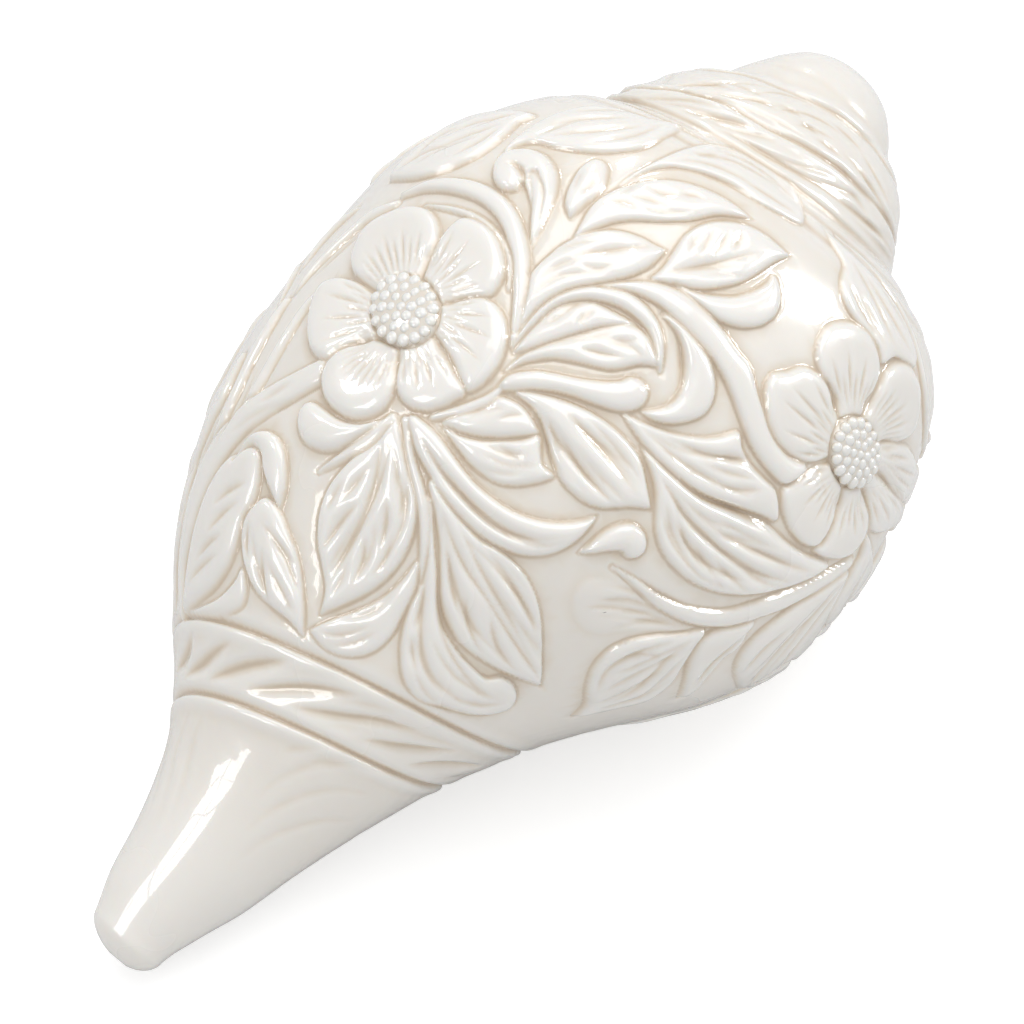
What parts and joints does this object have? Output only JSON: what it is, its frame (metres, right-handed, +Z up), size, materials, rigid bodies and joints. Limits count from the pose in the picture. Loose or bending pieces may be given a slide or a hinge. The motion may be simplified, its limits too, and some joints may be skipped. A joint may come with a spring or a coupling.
{
  "type": "carved shankha conch shell",
  "caption": "Heavy ivory-white conch shell lying on its mouth, its body cut all over in low relief with flowers, leaves and scrolls; plain canal and domed apex.",
  "frame": {"origin": "on the surface that the shell rests on, under the middle of its outline seen from above", "axes": "+X level, from the tip of the canal towards the apex; +Z up, out of the carved back; +Y towards the side of the lip"},
  "size_m": [0.1439, 0.0844, 0.0743],
  "materials": {
    "carved_shell": "glossy ivory white, beige where the carving is deep"
  },
  "bodies": {
    "root": {"conch_shell": "carved_shell"}
  },
  "joints": []
}
